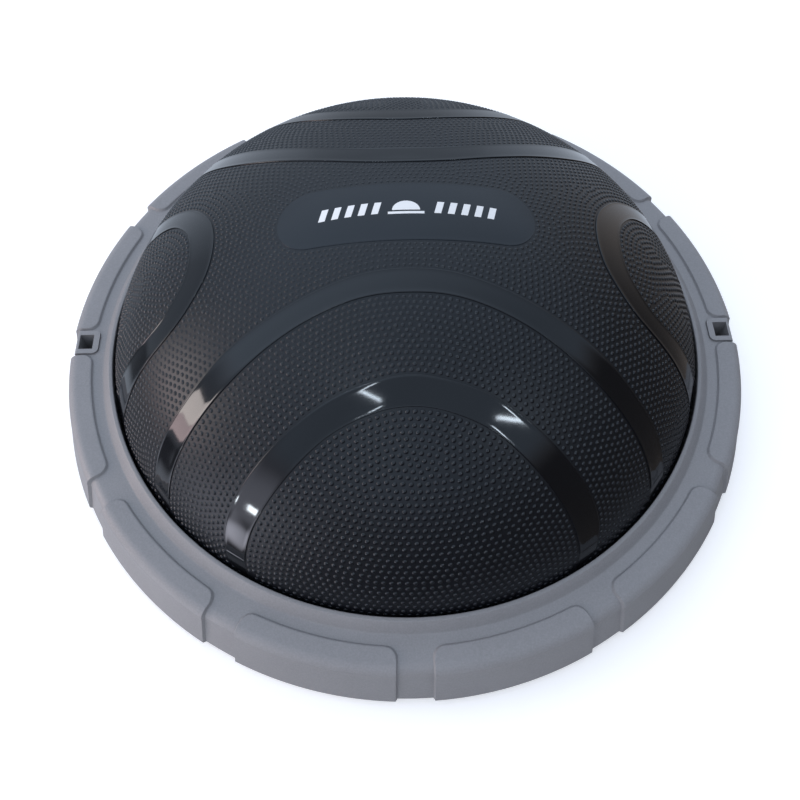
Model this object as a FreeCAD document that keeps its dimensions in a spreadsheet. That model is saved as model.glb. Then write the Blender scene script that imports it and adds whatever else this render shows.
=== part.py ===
import FreeCAD, Part
import math
import os
import re
import Sketcher

# Balance dome trainer: an inflated PVC dome held in a moulded ring on a round platform.
# Millimetres. +Z is up, the origin is on the floor under the dome's apex, and the two band
# anchors lie on the X axis. Sizes live in the sheet "Size"; outlines name its cells.

DIMENSIONS = {
    # platform and ring: radii and heights of the turned sections
    "platform_z": 2.0,
    "platform_r": 290.5,
    "plate_top": 6.0,
    "flange_top": 8.0,
    "shelf_top": 14.5,
    "shelf_inner_r": 250.0,
    "shelf_outer_r": 258.5,
    "well_r": 20.0,
    "well_wall": 3.0,
    "hoop_r": 130.0,
    "rib_wall": 3.0,
    "rib_count": 24,
    "root": 1.0,
    "ring_r": 300.0,
    "ring_foot_r": 296.5,
    "ring_widest_z": 8.5,
    "ring_shoulder_r": 290.7,
    "ring_round": 9.0,
    "pad_top": 52.5,
    "pad_relief": 2.3,
    "pad_inner_r": 268.9,
    "pad_corner": 9.0,
    "pad_angle": 24.8,
    "pad_count": 12,
    "crease_r": 260.5,
    "lip_top": 59.0,
    "lip_r": 250.2,
    "lip_width": 3.2,
    "skirt_r": 252.5,
    "wall": 3.5,
    "ring_gap": 0.5,
    "inner_ease": 1.5,
    "wall_lean_z": 18.0,
    "web_gap": 0.3,
    # bladder: dome, its clamped edge and its floor
    "dome_r": 250.5,
    "dome_z": 37.0,
    "dome_wall": 3.0,
    "hem_arc": 78.0,
    "hem_turn": 16.5,
    "shoulder_arc": 176.0,
    "shoulder_turn": 48.0,
    "edge_r": 258.0,
    "floor_wall": 2.5,
    "edge_wall": 4.0,
    # valve in the middle of the bladder's floor
    "valve_bore_r": 4.0,
    "valve_stem_r": 8.5,
    "valve_flange_r": 16.0,
    "valve_low": 5.0,
    "valve_top": 30.0,
    "valve_neck_r": 7.0,
    "valve_gap": 0.2,
    "valve_flange": 3.0,
    "plug_gap": 0.06,
    "plug_head_r": 8.0,
    "plug_head": 2.4,
    "plug_chamfer": 0.6,
    "plug_tip": 27.0,
    "plug_lead": 2.0,
    "plug_lead_r": 1.5,
    "plug_slot": 1.6,
    "plug_slot_long": 10.4,
    # band anchors: square sleeves on the X axis, each with a screwed flange below
    "anchor_x": 276.0,
    "anchor_deep": 20.0,
    "anchor_wide": 23.4,
    "anchor_top": 52.0,
    "anchor_corner": 5.0,
    "anchor_brow": 2.5,
    "eye_x": 277.0,
    "eye_deep": 12.0,
    "eye_wide": 14.5,
    "anchor_gap": 0.3,
    "anchor_flange": 2.5,
    "anchor_flange_deep": 23.5,
    "anchor_flange_wide": 42.0,
    "anchor_screw_y": 16.8,
    # screws, and the room that heads, shanks and recesses have
    "head_gap": 0.5,
    "shank_gap": 0.2,
    "recess_gap": 0.2,
    "screw_ring_r": 274.0,
    "boss_r": 4.5,
    "screw_r": 2.0,
    "screw_gap": 0.05,
    "screw_head_r": 4.2,
    "screw_head": 2.6,
    "screw_sink": 3.0,
    "screw_length": 19.0,
    "cross_long": 5.0,
    "cross_wide": 1.1,
    "cross_deep": 1.4,
    "small_screw_r": 1.5,
    "small_head_r": 2.7,
    "small_head": 1.3,
    "small_sink": 1.6,
    "small_length": 8.0,
    # rubber feet
    "foot_ring_r": 226.0,
    "foot_r": 14.0,
    "foot_sink": 1.5,
    "foot_stem_r": 3.0,
    "foot_barb_r": 3.7,
    "foot_barb": 4.0,
    "foot_chamfer": 1.0,
    "stem_gap": 0.1,
    "foot_count": 12,
    # hand grips: slots through the platform's flange at front and back
    "grip_y": 274.75,
    "grip_wide": 17.5,
    "grip_long": 96.0,
}

# Screws stand every 15 degrees round the ring, except beside the two hand grips.
SCREW_STEP = 15.0
GRIP_ANGLES = (82.5, 97.5, 262.5, 277.5)
SCREW_ANGLES = [
    SCREW_STEP * (turn + 0.5) for turn in range(24) if SCREW_STEP * (turn + 0.5) not in GRIP_ANGLES
]

doc = FreeCAD.newDocument("balance_dome_trainer")
sheet = doc.addObject("Spreadsheet::Sheet", "Size")
for row, (alias, number) in enumerate(DIMENSIONS.items(), start=1):
    sheet.set(f"A{row}", alias)
    sheet.set(f"B{row}", str(number))
    sheet.setAlias(f"B{row}", alias)
doc.recompute()


def cells(text):
    """Turn bare cell names in an expression into references to the sheet."""
    return re.sub(
        r"[a-z_]+", lambda word: f"Size.{word[0]}" if word[0] in DIMENSIONS else word[0], text
    )


def value(text):
    """What an expression of cell names comes to, as a plain number."""
    found = sheet.evalExpression(cells(text))
    return float(getattr(found, "Value", found))


def turned(along, across, angle):
    """A point given along and across a direction that stands at an angle from +X."""
    x = f"({along}) * cos({angle}) - ({across}) * sin({angle})"
    y = f"({along}) * sin({angle}) + ({across}) * cos({angle})"
    return x, y


# ---------------------------------------------------------------- sketches and features


def new_body(label):
    body = doc.addObject("PartDesign::Body", label)
    body.Label = label
    body.AllowCompound = True
    return body


def origin_plane(body, role):
    return next(item for item in body.Origin.OriginFeatures if item.Role == role)


def sketch_on(body, name, role="XZ_Plane", lift=None, turn=0.0):
    """An empty sketch on an origin plane, lifted along its normal or turned about +Z."""
    sketch = body.newObject("Sketcher::SketchObject", name)
    sketch.AttachmentSupport = [(origin_plane(body, role), "")]
    sketch.MapMode = "FlatFace"
    if turn:
        upright = FreeCAD.Rotation(FreeCAD.Vector(0, 1, 0), turn)
        sketch.AttachmentOffset = FreeCAD.Placement(FreeCAD.Vector(), upright)
    if lift:
        sketch.setExpression("AttachmentOffset.Base.z", cells(lift))
    return sketch


def fix(sketch, kind, geometry, point, text):
    """Bind one coordinate of a point, or one radius, to the sheet."""
    if kind == "Radius":
        index = sketch.addConstraint(Sketcher.Constraint(kind, geometry, value(text)))
    else:
        index = sketch.addConstraint(
            Sketcher.Constraint(kind, -1, 1, geometry, point, value(text))
        )
    sketch.setExpression(f"Constraints[{index}]", cells(text))


def arc_between(start, end, radius):
    """The short arc from start to end that turns left, as on the outside of an outline."""
    chord = end - start
    across = math.sqrt(radius**2 - (chord.Length / 2) ** 2)
    left = FreeCAD.Vector(-chord.y, chord.x, 0).normalize()
    middle = (start + end) / 2 + left * across
    first = math.atan2(start.y - middle.y, start.x - middle.x)
    last = math.atan2(end.y - middle.y, end.x - middle.x)
    circle = Part.Circle(middle, FreeCAD.Vector(0, 0, 1), radius)
    return Part.ArcOfCircle(circle, first, last + (2 * math.pi if last < first else 0))


def add_outline(sketch, corners):
    """Draw a closed outline anticlockwise. A corner's third entry is an arc's radius."""
    places = [FreeCAD.Vector(value(corner[0]), value(corner[1]), 0) for corner in corners]
    edges = []
    for index, corner in enumerate(corners):
        start = places[index]
        end = places[(index + 1) % len(places)]
        if len(corner) > 2:
            edges.append(sketch.addGeometry(arc_between(start, end, value(corner[2])), False))
        else:
            edges.append(sketch.addGeometry(Part.LineSegment(start, end), False))
    for index, edge in enumerate(edges):
        following = edges[(index + 1) % len(edges)]
        sketch.addConstraint(Sketcher.Constraint("Coincident", edge, 2, following, 1))
    for edge, corner in zip(edges, corners):
        fix(sketch, "DistanceX", edge, 1, corner[0])
        fix(sketch, "DistanceY", edge, 1, corner[1])
        if len(corner) > 2:
            fix(sketch, "Radius", edge, None, corner[2])


def add_circle(sketch, x, y, radius):
    middle = FreeCAD.Vector(value(x), value(y), 0)
    circle = Part.Circle(middle, FreeCAD.Vector(0, 0, 1), value(radius))
    geometry = sketch.addGeometry(circle, False)
    fix(sketch, "DistanceX", geometry, 3, x)
    fix(sketch, "DistanceY", geometry, 3, y)
    fix(sketch, "Radius", geometry, None, radius)


def add_rectangle(sketch, x, y, size_x, size_y):
    """A rectangle of size_x by size_y about the point x, y."""
    low_x, high_x = f"{x} - ({size_x}) / 2", f"{x} + ({size_x}) / 2"
    low_y, high_y = f"{y} - ({size_y}) / 2", f"{y} + ({size_y}) / 2"
    add_outline(sketch, [(low_x, low_y), (high_x, low_y), (high_x, high_y), (low_x, high_y)])


def add_slot(sketch, x, y, long, wide):
    """A slot along X with round ends, long overall by wide, about the point x, y."""
    half = f"({wide}) / 2"
    low_x, high_x = f"{x} - ({long}) / 2 + {half}", f"{x} + ({long}) / 2 - {half}"
    tip_x, far_x = f"{x} - ({long}) / 2", f"{x} + ({long}) / 2"
    low_y, high_y = f"{y} - {half}", f"{y} + {half}"
    add_outline(
        sketch,
        [
            (low_x, low_y),
            (high_x, low_y, half),
            (far_x, y, half),
            (high_x, high_y),
            (low_x, high_y, half),
            (tip_x, y, half),
        ],
    )


def add_at_screws(sketch, draw, *sizes):
    """Draw the same circle or rectangle at each clamp screw."""
    for angle in SCREW_ANGLES:
        draw(sketch, *turned("screw_ring_r", "0", angle), *sizes)


def checked(body, before, grows):
    """Recompute, and stop if the last feature didn't add to, or cut from, the body."""
    doc.recompute()
    change = body.Shape.Volume - before
    if (change <= 0) if grows else (change >= 0):
        raise ValueError(f"{body.Label}: {body.Tip.Name} changed the volume by {change:.3f}")


def revolve(body, sketch, angle=None, cut=False):
    """Turn a sketch about +Z, all the way round or by an angle centred on its plane."""
    before = 0.0 if body.Shape.isNull() else body.Shape.Volume
    kind = "PartDesign::Groove" if cut else "PartDesign::Revolution"
    feature = body.newObject(kind, f"{sketch.Name}_turned")
    feature.Profile = sketch
    feature.ReferenceAxis = (sketch, ["V_Axis"])
    if angle:
        feature.Midplane = True
        feature.setExpression("Angle", cells(angle))
    else:
        feature.Angle = 360.0
    sketch.Visibility = False
    checked(body, before, not cut)
    return feature


def extrude(body, sketch, length, cut=False, midplane=False):
    """Pad or pocket a sketch by a length, up from its plane or to both sides of it."""
    before = 0.0 if body.Shape.isNull() else body.Shape.Volume
    kind = "PartDesign::Pocket" if cut else "PartDesign::Pad"
    feature = body.newObject(kind, f"{sketch.Name}_run")
    feature.Profile = sketch
    feature.Midplane = midplane
    feature.Reversed = cut and not midplane
    feature.setExpression("Length", cells(length))
    sketch.Visibility = False
    checked(body, before, not cut)
    return feature


def polar(body, feature, count):
    before = body.Shape.Volume
    pattern = body.newObject("PartDesign::PolarPattern", f"{feature.Name}_around")
    pattern.Originals = [feature]
    pattern.Axis = (origin_plane(body, "Z_Axis"), [""])
    pattern.Angle = 360.0
    pattern.setExpression("Occurrences", cells(count))
    body.Tip = pattern
    checked(body, before, True)
    return pattern


def round_edges(body, name, radius, chosen):
    """Fillet the edges for which chosen(edge) is true."""
    base = body.Tip
    names = [
        f"Edge{index}" for index, edge in enumerate(base.Shape.Edges, start=1) if chosen(edge)
    ]
    fillet = body.newObject("PartDesign::Fillet", name)
    fillet.Base = (base, names)
    fillet.setExpression("Radius", cells(radius))
    doc.recompute()
    return fillet


def middle_of(edge):
    first, last = edge.ParameterRange
    return edge.valueAt((first + last) / 2)


# ---------------------------------------------------------------- rigid platform parts


def platform():
    """Lower moulding: flat underside to stand on, ribs above it, a shelf for the bladder."""
    body = new_body("base_platform")
    section = sketch_on(body, "platform_section")
    add_outline(
        section,
        [
            ("well_r", "platform_z"),
            ("platform_r", "platform_z"),
            ("platform_r", "flange_top"),
            ("shelf_outer_r", "flange_top"),
            ("shelf_outer_r", "shelf_top"),
            ("shelf_inner_r", "shelf_top"),
            ("shelf_inner_r", "plate_top"),
            ("hoop_r + rib_wall / 2", "plate_top"),
            ("hoop_r + rib_wall / 2", "shelf_top"),
            ("hoop_r - rib_wall / 2", "shelf_top"),
            ("hoop_r - rib_wall / 2", "plate_top"),
            ("well_r + well_wall", "plate_top"),
            ("well_r + well_wall", "shelf_top"),
            ("well_r", "shelf_top"),
        ],
    )
    revolve(body, section)

    # Radial ribs carry the bladder's floor; they run from the well's wall to the shelf.
    rib = sketch_on(body, "radial_rib", "XY_Plane", lift="plate_top - root")
    start, end, side = "well_r + well_wall / 2", "shelf_inner_r + root", "rib_wall / 2"
    ends = ((start, f"-{side}"), (end, f"-{side}"), (end, side), (start, side))
    add_outline(rib, [turned(along, across, SCREW_STEP / 2) for along, across in ends])
    polar(body, extrude(body, rib, "shelf_top - plate_top + root"), "rib_count")

    sinks = sketch_on(body, "screw_sinks", "XY_Plane", lift="platform_z")
    add_at_screws(sinks, add_circle, "screw_head_r + head_gap")
    extrude(body, sinks, "screw_sink", cut=True)
    holes = sketch_on(body, "screw_holes", "XY_Plane", lift="platform_z")
    add_at_screws(holes, add_circle, "screw_r + shank_gap")
    extrude(body, holes, "flange_top", cut=True)

    grips = sketch_on(body, "grip_slots", "XY_Plane", lift="platform_z")
    for side in ("grip_y", "-grip_y"):
        add_slot(grips, "0", side, "grip_long", "grip_wide")
    extrude(body, grips, "flange_top", cut=True)

    # Each band anchor drops its flange into a recess and its sleeve through a square hole.
    recesses = sketch_on(body, "anchor_recesses", "XY_Plane", lift="platform_z")
    sleeves = sketch_on(body, "anchor_holes", "XY_Plane", lift="platform_z")
    pilots = sketch_on(body, "anchor_pilots", "XY_Plane", lift="platform_z")
    for side in ("anchor_x", "-anchor_x"):
        deep, wide = "anchor_flange_deep + 2 * anchor_gap", "anchor_flange_wide + 2 * anchor_gap"
        add_rectangle(recesses, side, "0", deep, wide)
        add_rectangle(
            sleeves, side, "0", "anchor_deep + 2 * anchor_gap", "anchor_wide + 2 * anchor_gap"
        )
        for tangent in ("anchor_screw_y", "-anchor_screw_y"):
            add_circle(pilots, side, tangent, "small_screw_r + screw_gap")
    extrude(body, recesses, "anchor_flange + recess_gap", cut=True)
    extrude(body, sleeves, "flange_top", cut=True)
    extrude(body, pilots, "flange_top", cut=True)

    recess = sketch_on(body, "foot_recess", "XY_Plane", lift="platform_z")
    stem = sketch_on(body, "foot_hole", "XY_Plane", lift="platform_z")
    for step in range(DIMENSIONS["foot_count"]):
        place = turned("foot_ring_r", "0", 2 * SCREW_STEP * (step + 0.5))
        add_circle(recess, *place, "foot_r + recess_gap")
        add_circle(stem, *place, "foot_stem_r + stem_gap")
    extrude(body, recess, "foot_sink", cut=True)
    extrude(body, stem, "flange_top", cut=True)
    return body


def rim_ring():
    """Upper moulding: outer wall, raised pads, lip round the dome and skirt that clamps it."""
    body = new_body("rim_ring")
    section = sketch_on(body, "ring_section")
    land = "pad_top - pad_relief"
    add_outline(
        section,
        [
            ("platform_r + ring_gap", "platform_z"),
            ("ring_foot_r - pad_relief", "platform_z"),
            ("ring_r - pad_relief", "ring_widest_z"),
            ("ring_shoulder_r - pad_relief", f"{land} - ring_round", "ring_round"),
            ("ring_shoulder_r - pad_relief - ring_round", land),
            ("crease_r", land),
            ("lip_r + lip_width", "lip_top"),
            ("lip_r", "lip_top"),
            ("lip_r", "lip_top - wall"),
            ("skirt_r", "lip_top - wall - skirt_r + lip_r"),
            ("skirt_r", "shelf_top + floor_wall + edge_wall"),
            ("shelf_outer_r", "shelf_top + floor_wall + edge_wall"),
            ("shelf_outer_r", "shelf_top + floor_wall + edge_wall + wall"),
            ("skirt_r + wall", "shelf_top + floor_wall + edge_wall + shelf_outer_r - skirt_r"),
            ("skirt_r + wall", f"{land} - wall"),
            ("ring_shoulder_r - pad_relief - ring_round - inner_ease", f"{land} - wall"),
            ("ring_shoulder_r - pad_relief - wall", f"{land} - ring_round - inner_ease / 2"),
            ("platform_r + ring_gap", "wall_lean_z"),
        ],
    )
    revolve(body, section)

    # One raised pad: a skin over the top and the outer wall, repeated all the way round.
    pad = sketch_on(body, "raised_pad", turn=SCREW_STEP)
    add_outline(
        pad,
        [
            ("ring_foot_r - pad_relief - root", "platform_z"),
            ("ring_foot_r", "platform_z"),
            ("ring_r", "ring_widest_z"),
            ("ring_shoulder_r", "pad_top - ring_round", "ring_round"),
            ("ring_shoulder_r - ring_round", "pad_top"),
            ("pad_inner_r", "pad_top"),
            ("pad_inner_r", f"{land} - root"),
            ("ring_shoulder_r - pad_relief - ring_round", f"{land} - root"),
            ("ring_shoulder_r - pad_relief - root", f"{land} - ring_round"),
            ("ring_foot_r - pad_relief - root", "ring_widest_z"),
        ],
    )
    polar(body, revolve(body, pad, angle="pad_angle"), "pad_count")

    top, inner = value("pad_top"), value("pad_inner_r")
    low = value(land)

    def pad_corner(edge):
        place = middle_of(edge)
        upright = abs(edge.BoundBox.ZLength - (top - low)) < 0.05
        return upright and abs(math.hypot(place.x, place.y) - inner) < 0.05

    round_edges(body, "pad_corners", "pad_corner", pad_corner)

    # Screw bosses hang from the land and stand on the platform's flange.
    bosses = sketch_on(body, "bosses", "XY_Plane", lift="flange_top")
    add_at_screws(bosses, add_circle, "boss_r")
    extrude(body, bosses, f"{land} - wall / 2 - flange_top")
    bores = sketch_on(body, "boss_bores", "XY_Plane", lift="flange_top")
    add_at_screws(bores, add_circle, "screw_r + screw_gap")
    extrude(body, bores, "screw_length", cut=True)

    # A full web under each pad ties the skirt to the outer wall and closes off a bay. The two
    # bays at the hand grips take the fingers.
    web = sketch_on(body, "web", turn=SCREW_STEP)
    clamp_top = "shelf_top + floor_wall + edge_wall + wall"
    add_outline(
        web,
        [
            ("shelf_outer_r + web_gap", "flange_top + web_gap"),
            ("platform_r + ring_gap + root", "flange_top + web_gap"),
            ("platform_r + ring_gap + root", "wall_lean_z"),
            ("ring_shoulder_r - pad_relief - wall / 2", f"{land} - ring_round"),
            ("ring_shoulder_r - ring_round - pad_relief", f"{land} - wall / 2"),
            ("skirt_r + wall / 2", f"{land} - wall / 2"),
            ("skirt_r + wall / 2", f"{clamp_top} - wall / 2"),
            ("shelf_outer_r + web_gap", f"{clamp_top} - wall / 2"),
        ],
    )
    polar(body, extrude(body, web, "rib_wall", midplane=True), "pad_count")

    cuts = sketch_on(body, "anchor_cuts", "XY_Plane", lift="shelf_top")
    for side in ("anchor_x", "-anchor_x"):
        add_rectangle(
            cuts, side, "0", "anchor_deep + 2 * anchor_gap", "anchor_wide + 2 * anchor_gap"
        )
    extrude(body, cuts, "lip_top", cut=True)
    return body


def band_anchor(label, turn):
    """Square sleeve that a band's hook goes through, with a flange screwed on from below."""
    body = new_body(label)
    flange = sketch_on(body, f"{label}_flange", "XY_Plane", lift="platform_z")
    add_rectangle(flange, "anchor_x", "0", "anchor_flange_deep", "anchor_flange_wide")
    extrude(body, flange, "anchor_flange")
    sleeve = sketch_on(body, f"{label}_sleeve", "XY_Plane", lift="platform_z")
    add_rectangle(sleeve, "anchor_x", "0", "anchor_deep", "anchor_wide")
    extrude(body, sleeve, "anchor_top - platform_z")
    eye = sketch_on(body, f"{label}_eye", "XY_Plane", lift="platform_z")
    add_rectangle(eye, "eye_x", "0", "eye_deep", "eye_wide")
    extrude(body, eye, "anchor_top", cut=True)

    heads = sketch_on(body, f"{label}_head_sinks", "XY_Plane", lift="platform_z")
    shanks = sketch_on(body, f"{label}_shank_holes", "XY_Plane", lift="platform_z")
    for tangent in ("anchor_screw_y", "-anchor_screw_y"):
        add_circle(heads, "anchor_x", tangent, "small_head_r + head_gap")
        add_circle(shanks, "anchor_x", tangent, "small_screw_r + shank_gap")
    extrude(body, heads, "small_sink", cut=True)
    extrude(body, shanks, "2 * anchor_flange", cut=True)

    middle, deep, wide = value("anchor_x"), value("anchor_deep"), value("anchor_wide")

    def inner_corner(edge):
        """The two upright edges of the sleeve that face the dome."""
        place = middle_of(edge)
        upright = edge.BoundBox.ZLength > value("flange_top") and edge.BoundBox.XLength < 0.01
        facing = abs(place.x - (middle - deep / 2)) < 0.01
        return upright and facing and abs(abs(place.y) - wide / 2) < 0.01

    round_edges(body, f"{label}_corners", "anchor_corner", inner_corner)

    def outer_brow(edge):
        """The top edge that faces away from the dome, rounded like the ring beside it."""
        place = middle_of(edge)
        level = abs(place.z - value("anchor_top")) < 0.01 and edge.BoundBox.XLength < 0.01
        return level and abs(place.x - (middle + deep / 2)) < 0.01

    round_edges(body, f"{label}_brow", "anchor_brow", outer_brow)
    body.Placement = FreeCAD.Placement(
        FreeCAD.Vector(), FreeCAD.Rotation(FreeCAD.Vector(0, 0, 1), turn)
    )
    return body


# ---------------------------------------------------------------- bladder and valve


def dome_corners(inset):
    """The dome's side and crown as three tangent arcs, inset by an expression."""
    turn_low, turn_high = "hem_turn", "shoulder_turn"
    side = f"dome_r - ({inset})"
    hem = f"(hem_arc - ({inset}))"
    shoulder = f"(shoulder_arc - ({inset}))"
    hem_x = f"({side} - {hem} * (1 - cos({turn_low})))"
    hem_z = f"(dome_z + {hem} * sin({turn_low}))"
    crown_x = f"({hem_x} - {shoulder} * (cos({turn_low}) - cos({turn_high})))"
    crown_z = f"({hem_z} + {shoulder} * (sin({turn_high}) - sin({turn_low})))"
    crown = f"{crown_x} / cos({turn_high})"
    apex_z = f"{crown_z} + {crown} * (1 - sin({turn_high}))"
    return [
        (side, "dome_z", hem),
        (hem_x, hem_z, shoulder),
        (crown_x, crown_z, crown),
        ("0", apex_z),
    ]


def dome_shell():
    """Inflated upper half of the bladder, with the flat edge that the ring clamps."""
    body = new_body("dome_shell")
    low, high = "shelf_top + floor_wall", "shelf_top + floor_wall + edge_wall"
    outside = sketch_on(body, "dome_outside")
    add_outline(
        outside,
        [("0", low), ("edge_r", low), ("edge_r", high), ("dome_r", high)] + dome_corners("0"),
    )
    revolve(body, outside)
    inside = sketch_on(body, "dome_inside")
    add_outline(inside, [("0", low), ("dome_r - dome_wall", low)] + dome_corners("dome_wall"))
    revolve(body, inside, cut=True)
    return body


def bladder_floor():
    """Flat lower half of the bladder, welded to the dome's edge, with a hole for the valve."""
    body = new_body("bladder_floor")
    disc = sketch_on(body, "floor_disc", "XY_Plane", lift="shelf_top")
    add_circle(disc, "0", "0", "edge_r")
    add_circle(disc, "0", "0", "valve_neck_r + valve_gap")
    extrude(body, disc, "floor_wall")
    return body


def valve_seat():
    """Rubber valve body: flange under the bladder's floor, neck up inside, stem below."""
    body = new_body("valve_seat")
    section = sketch_on(body, "seat_section")
    flange_low = "shelf_top - valve_flange"
    add_outline(
        section,
        [
            ("valve_bore_r", "valve_low"),
            ("valve_stem_r", "valve_low"),
            ("valve_stem_r", flange_low),
            ("valve_flange_r", flange_low),
            ("valve_flange_r", "shelf_top"),
            ("valve_neck_r", "shelf_top"),
            ("valve_neck_r", "valve_top"),
            ("valve_bore_r", "valve_top"),
        ],
    )
    revolve(body, section)
    return body


def valve_plug():
    """Stopper pushed up into the valve from below, with a slot to prise it out by."""
    body = new_body("valve_plug")
    section = sketch_on(body, "plug_section")
    shaft = "valve_bore_r - plug_gap"
    add_outline(
        section,
        [
            ("0", "valve_low - plug_head"),
            ("plug_head_r - plug_chamfer", "valve_low - plug_head"),
            ("plug_head_r", "valve_low - plug_head + plug_chamfer"),
            ("plug_head_r", "valve_low"),
            (shaft, "valve_low"),
            (shaft, "plug_tip - plug_lead"),
            (f"{shaft} - plug_lead_r", "plug_tip"),
            ("0", "plug_tip"),
        ],
    )
    revolve(body, section)
    slot = sketch_on(body, "plug_slot_outline", "XY_Plane", lift="valve_low - plug_head")
    add_slot(slot, "0", "0", "plug_slot_long", "plug_slot")
    extrude(body, slot, "plug_head / 2", cut=True)
    return body


# ---------------------------------------------------------------- fasteners and feet


def clamp_screws():
    """The screws that draw the ring down on the platform, each a separate solid."""
    body = new_body("clamp_screws")
    seat = "platform_z + screw_sink"
    low = f"{seat} - screw_head"
    heads = sketch_on(body, "clamp_heads", "XY_Plane", lift=low)
    add_at_screws(heads, add_circle, "screw_head_r")
    extrude(body, heads, "screw_head")
    shanks = sketch_on(body, "clamp_shanks", "XY_Plane", lift=seat)
    add_at_screws(shanks, add_circle, "screw_r")
    extrude(body, shanks, "screw_length")
    for name, size in (
        ("clamp_cross_x", ("cross_long", "cross_wide")),
        ("clamp_cross_y", ("cross_wide", "cross_long")),
    ):
        cross = sketch_on(body, name, "XY_Plane", lift=low)
        add_at_screws(cross, add_rectangle, *size)
        extrude(body, cross, "cross_deep", cut=True)
    return body


def anchor_screws():
    """Two small screws through each band anchor's flange, each a separate solid."""
    body = new_body("anchor_screws")
    seat = "platform_z + small_sink"
    low = f"{seat} - small_head"
    heads = sketch_on(body, "anchor_heads", "XY_Plane", lift=low)
    shanks = sketch_on(body, "anchor_shanks", "XY_Plane", lift=seat)
    slots = sketch_on(body, "anchor_head_slots", "XY_Plane", lift=low)
    for x in ("anchor_x", "-anchor_x"):
        for y in ("anchor_screw_y", "-anchor_screw_y"):
            add_circle(heads, x, y, "small_head_r")
            add_circle(shanks, x, y, "small_screw_r")
            add_rectangle(slots, x, y, "small_head_r", "cross_wide")
    extrude(body, heads, "small_head")
    extrude(body, shanks, "small_length")
    extrude(body, slots, "small_head / 2", cut=True)
    return body


def rubber_foot(number):
    """A round rubber foot whose barbed stem snaps through the platform's plate."""
    label = f"foot_{number:02d}"
    body = new_body(label)
    top = "platform_z + foot_sink"
    section = sketch_on(body, f"{label}_section")
    add_outline(
        section,
        [
            ("0", "0"),
            ("foot_r - foot_chamfer", "0"),
            ("foot_r", "foot_chamfer"),
            ("foot_r", top),
            ("foot_stem_r", top),
            ("foot_stem_r", "plate_top + recess_gap"),
            ("foot_barb_r", "plate_top + recess_gap"),
            ("foot_stem_r - foot_chamfer", "plate_top + foot_barb"),
            ("0", "plate_top + foot_barb"),
        ],
    )
    revolve(body, section)
    angle = math.radians(2 * SCREW_STEP * (number - 0.5))
    reach = value("foot_ring_r")
    place = FreeCAD.Vector(reach * math.cos(angle), reach * math.sin(angle), 0)
    body.Placement = FreeCAD.Placement(place, FreeCAD.Rotation())
    return body


# ---------------------------------------------------------------- build, check and write

pieces = [
    platform(),
    rim_ring(),
    band_anchor("band_anchor_right", 0.0),
    band_anchor("band_anchor_left", 180.0),
    dome_shell(),
    bladder_floor(),
    valve_seat(),
    valve_plug(),
    clamp_screws(),
    anchor_screws(),
]
for number in range(1, DIMENSIONS["foot_count"] + 1):
    pieces.append(rubber_foot(number))
doc.recompute()

for item in doc.Objects:
    if "Invalid" in item.State or "Error" in item.State:
        raise ValueError(f"{item.Name} is {item.State}")
for piece in pieces:
    if piece.Shape.isNull() or not piece.Shape.isValid():
        raise ValueError(f"{piece.Label} has no valid shape")

os.makedirs("parts", exist_ok=True)
for piece in pieces:
    piece.Shape.exportStep(f"parts/{piece.Label}.step")
    box = piece.Shape.BoundBox
    print(
        f"{piece.Label}: {len(piece.Shape.Solids)} solids, {piece.Shape.Volume / 1000:.1f} cm3,"
        f" z {box.ZMin:.2f} to {box.ZMax:.2f}, x to {box.XMax:.2f}"
    )
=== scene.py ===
import math

import bmesh
import bpy
import numpy as np
from mathutils import Matrix, Vector, kdtree


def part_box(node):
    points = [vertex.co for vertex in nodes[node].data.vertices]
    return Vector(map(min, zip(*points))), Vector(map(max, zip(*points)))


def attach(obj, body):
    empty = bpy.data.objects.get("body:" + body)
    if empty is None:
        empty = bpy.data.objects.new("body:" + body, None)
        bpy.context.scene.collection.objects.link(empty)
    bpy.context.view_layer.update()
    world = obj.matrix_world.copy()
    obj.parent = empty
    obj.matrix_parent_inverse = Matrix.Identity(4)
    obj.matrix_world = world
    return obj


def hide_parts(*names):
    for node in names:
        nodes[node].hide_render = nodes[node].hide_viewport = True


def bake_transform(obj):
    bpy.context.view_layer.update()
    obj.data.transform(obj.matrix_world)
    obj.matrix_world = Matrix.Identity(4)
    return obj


# Looks of the balance dome trainer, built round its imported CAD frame. Shapes are worked out in
# millimetres and written to the meshes in metres. The dome's skin is unrolled from its apex:
# a point (u, v) lies at the arc length hypot(u, v) down the meridian that points at (u, v).

MM = 0.001

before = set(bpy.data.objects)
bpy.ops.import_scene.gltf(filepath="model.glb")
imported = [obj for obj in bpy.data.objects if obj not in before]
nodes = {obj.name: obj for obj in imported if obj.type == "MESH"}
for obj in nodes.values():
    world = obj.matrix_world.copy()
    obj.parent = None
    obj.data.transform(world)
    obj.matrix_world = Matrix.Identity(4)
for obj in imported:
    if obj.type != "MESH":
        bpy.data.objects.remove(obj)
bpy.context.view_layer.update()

# -------- meshes


def make_object(name, points, *face_sets):
    """A smooth-shaded mesh from points in millimetres and arrays of equal-sided faces."""
    mesh = bpy.data.meshes.new(name)
    corners = np.concatenate([faces.ravel() for faces in face_sets])
    sides = np.concatenate([np.full(len(faces), faces.shape[1]) for faces in face_sets])
    mesh.vertices.add(len(points))
    mesh.vertices.foreach_set("co", (np.asarray(points) * MM).astype(np.float32).ravel())
    mesh.loops.add(len(corners))
    mesh.loops.foreach_set("vertex_index", corners.astype(np.int32))
    mesh.polygons.add(len(sides))
    mesh.polygons.foreach_set("loop_start", (np.cumsum(sides) - sides).astype(np.int32))
    mesh.update(calc_edges=True)
    mesh.validate()
    mesh.shade_smooth()
    made = bpy.data.objects.new(name, mesh)
    bpy.context.scene.collection.objects.link(made)
    return made


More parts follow.
